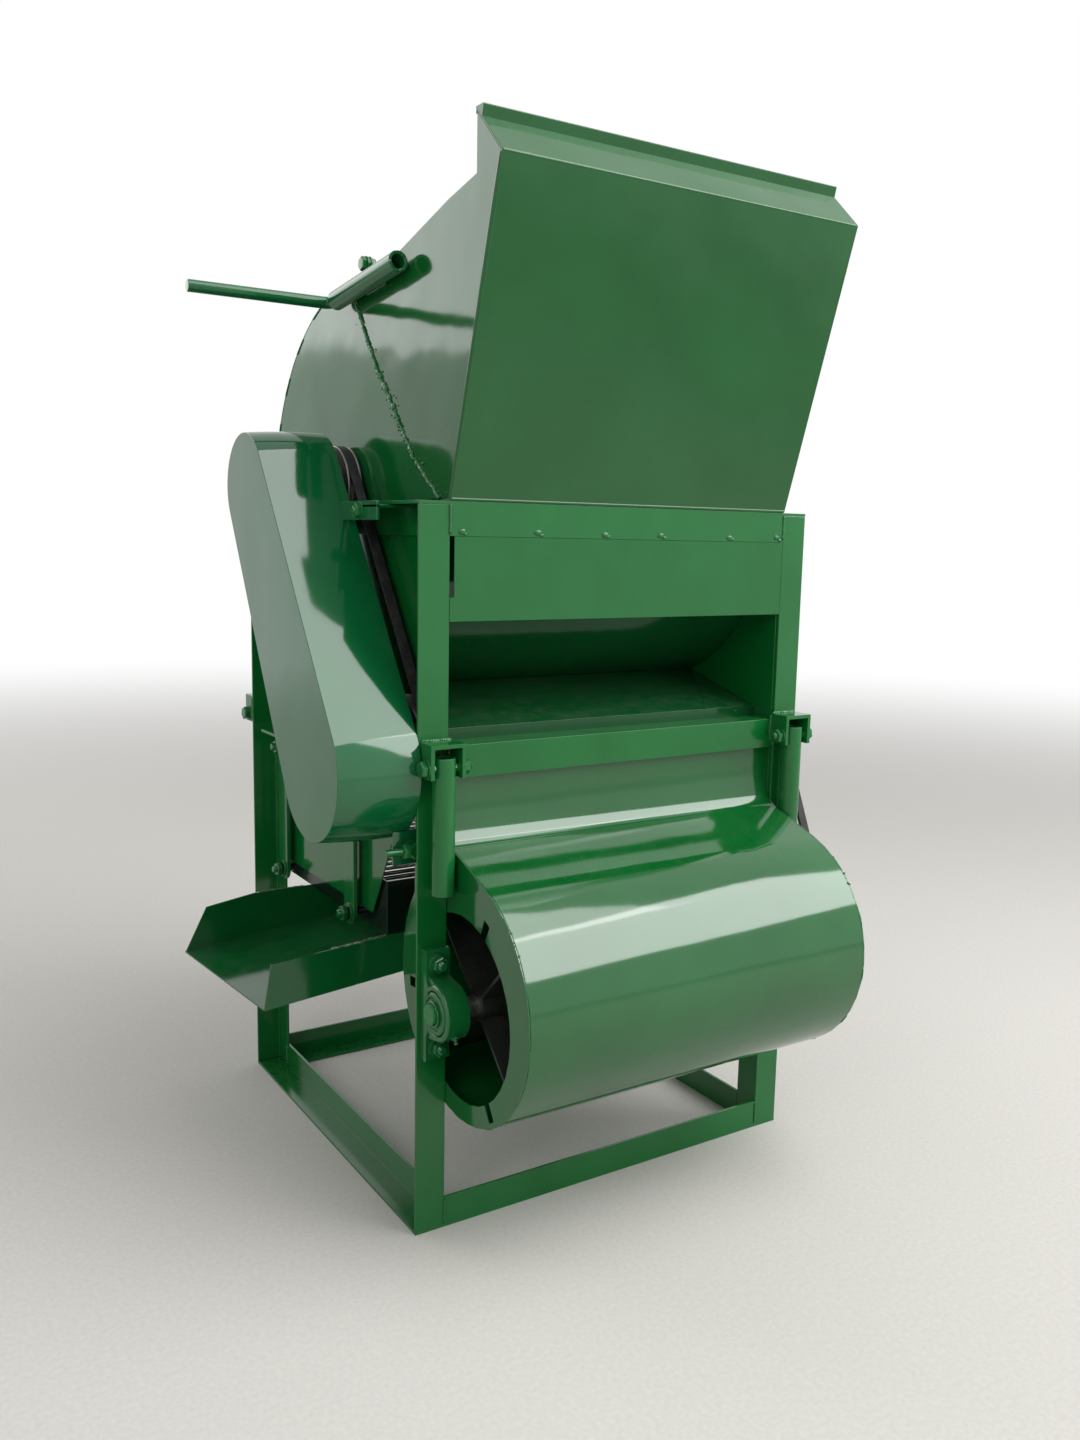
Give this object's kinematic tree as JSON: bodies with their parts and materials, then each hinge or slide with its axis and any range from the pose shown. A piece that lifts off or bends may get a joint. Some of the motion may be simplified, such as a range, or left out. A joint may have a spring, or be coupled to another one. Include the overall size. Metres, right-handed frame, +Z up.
{
  "type": "peanut picking machine",
  "caption": "Free-standing peanut picker: angle-iron frame, top hopper, spiked drum over a concave sieve, front fan, hanging shaker screen, side trough and folding carry handles.",
  "frame": {"origin": "middle of the footprint on the floor, at the centre of the bounding box seen from above", "axes": "+X along the fan shaft to the machine's right side as seen from the hopper's front, +Y to the vine outlet at the back, +Z up"},
  "size_m": [0.826, 0.8008, 1.312],
  "materials": {
    "green_enamel": "glossy sprayed enamel",
    "black_enamel": "semi-gloss black paint",
    "cast_housing": "green paint over cast iron",
    "cast_pulley": "turned cast iron",
    "bare_steel": "bare rolled steel",
    "bright_rod": "bright drawn rod",
    "belt_rubber": "matt black rubber and cloth"
  },
  "bodies": {
    "machine": {"base_frame": "green_enamel", "top_frame": "green_enamel", "leg_front_left": "green_enamel", "leg_front_right": "green_enamel", "leg_rear_left": "green_enamel", "leg_rear_right": "green_enamel", "mid_rail_left": "green_enamel", "mid_rail_right": "green_enamel", "cross_rail": "green_enamel", "front_panel": "green_enamel", "side_panel_left": "green_enamel", "side_panel_right": "green_enamel", "hopper_front": "green_enamel", "hopper_side_left": "green_enamel", "hopper_side_right": "green_enamel", "drum_hood": "green_enamel", "end_plate_left": "green_enamel", "end_plate_right": "green_enamel", "concave_apron": "green_enamel", "air_guide": "green_enamel", "concave_sieve": "bare_steel", "drum_bearing_left": "cast_housing", "drum_bearing_right": "cast_housing", "crank_bearing_left": "cast_housing", "crank_bearing_right": "cast_housing", "fan_bearing_left": "cast_housing", "fan_bearing_right": "cast_housing", "fan_housing": "green_enamel", "fan_end_left": "green_enamel", "fan_end_right": "green_enamel", "belt_guard": "green_enamel", "handle_bracket_front_left": "green_enamel", "handle_bracket_front_right": "green_enamel", "handle_bracket_rear_left": "green_enamel", "handle_bracket_rear_right": "green_enamel", "lever_sleeve": "green_enamel", "crank_belt": "belt_rubber", "fan_belt": "belt_rubber"},
    "drum": {"drum_shaft": "bare_steel", "picking_drum": "green_enamel", "drum_pulley_left": "cast_pulley", "drum_pulley_right": "cast_pulley"},
    "crank": {"crankshaft": "bare_steel", "crank_pulley": "cast_pulley"},
    "rod": {"connecting_rod": "bare_steel"},
    "fan": {"fan_shaft": "bare_steel", "fan_impeller": "bare_steel", "fan_pulley": "cast_pulley"},
    "front_hangers": {"hanger_front_left": "green_enamel", "hanger_front_right": "green_enamel"},
    "rear_hangers": {"hanger_rear_left": "green_enamel", "hanger_rear_right": "green_enamel"},
    "screen": {"screen_box": "black_enamel", "screen_rods": "bright_rod", "outlet_trough": "green_enamel"},
    "handle_fl": {"handle_front_left": "green_enamel"},
    "handle_fr": {"handle_front_right": "green_enamel"},
    "handle_rl": {"handle_rear_left": "green_enamel"},
    "handle_rr": {"handle_rear_right": "green_enamel"},
    "lever": {"lever_bar": "green_enamel"}
  },
  "joints": [
    {"name": "drum_spin", "type": "hinge", "parent": "machine", "child": "drum", "pos_m": [0.054, 0.07858, 0.918], "axis": [1, 0, 0], "continuous": true},
    {"name": "crank_spin", "type": "hinge", "parent": "machine", "child": "crank", "pos_m": [0.054, -0.12442, 0.59], "axis": [1, 0, 0], "continuous": true},
    {"name": "rod_level", "type": "hinge", "parent": "crank", "child": "rod", "pos_m": [0.054, -0.12442, 0.585], "axis": [1, 0, 0], "continuous": true},
    {"name": "fan_spin", "type": "hinge", "parent": "machine", "child": "fan", "pos_m": [0.054, -0.24522, 0.3015], "axis": [1, 0, 0], "continuous": true},
    {"name": "front_hanger_swing", "type": "hinge", "parent": "machine", "child": "front_hangers", "pos_m": [0.054, 0.05357, 0.534], "axis": [1, 0, 0], "range_deg": [-1.5, 1.5]},
    {"name": "rear_hanger_swing", "type": "hinge", "parent": "machine", "child": "rear_hangers", "pos_m": [0.054, 0.30757, 0.534], "axis": [1, 0, 0], "range_deg": [-1.5, 1.5]},
    {"name": "screen_level", "type": "hinge", "parent": "front_hangers", "child": "screen", "pos_m": [0.054, 0.05357, 0.34], "axis": [1, 0, 0], "range_deg": [-1.5, 1.5]},
    {"name": "handle_front_left_fold", "type": "hinge", "parent": "machine", "child": "handle_fl", "pos_m": [-0.222, -0.22842, 0.593], "axis": [-1, 0, 0], "range_deg": [0, 90]},
    {"name": "handle_front_right_fold", "type": "hinge", "parent": "machine", "child": "handle_fr", "pos_m": [0.33, -0.22842, 0.593], "axis": [-1, 0, 0], "range_deg": [0, 90]},
    {"name": "handle_rear_left_fold", "type": "hinge", "parent": "machine", "child": "handle_rl", "pos_m": [-0.222, 0.38658, 0.577], "axis": [1, 0, 0], "range_deg": [0, 90]},
    {"name": "handle_rear_right_fold", "type": "hinge", "parent": "machine", "child": "handle_rr", "pos_m": [0.33, 0.38658, 0.577], "axis": [1, 0, 0], "range_deg": [0, 90]},
    {"name": "lever_lift", "type": "hinge", "parent": "machine", "child": "lever", "pos_m": [-0.222, -0.01142, 1.17], "axis": [0, 0.9954, -0.0958], "range_deg": [0, 90]}
  ],
  "couplings": [
    {"joint": "crank_spin", "follows": "drum_spin", "ratio": 0.75},
    {"joint": "rod_level", "follows": "drum_spin", "ratio": -0.75},
    {"joint": "fan_spin", "follows": "drum_spin", "ratio": 2.375},
    {"joint": "rear_hanger_swing", "follows": "front_hanger_swing", "ratio": 1},
    {"joint": "screen_level", "follows": "front_hanger_swing", "ratio": -1}
  ]
}
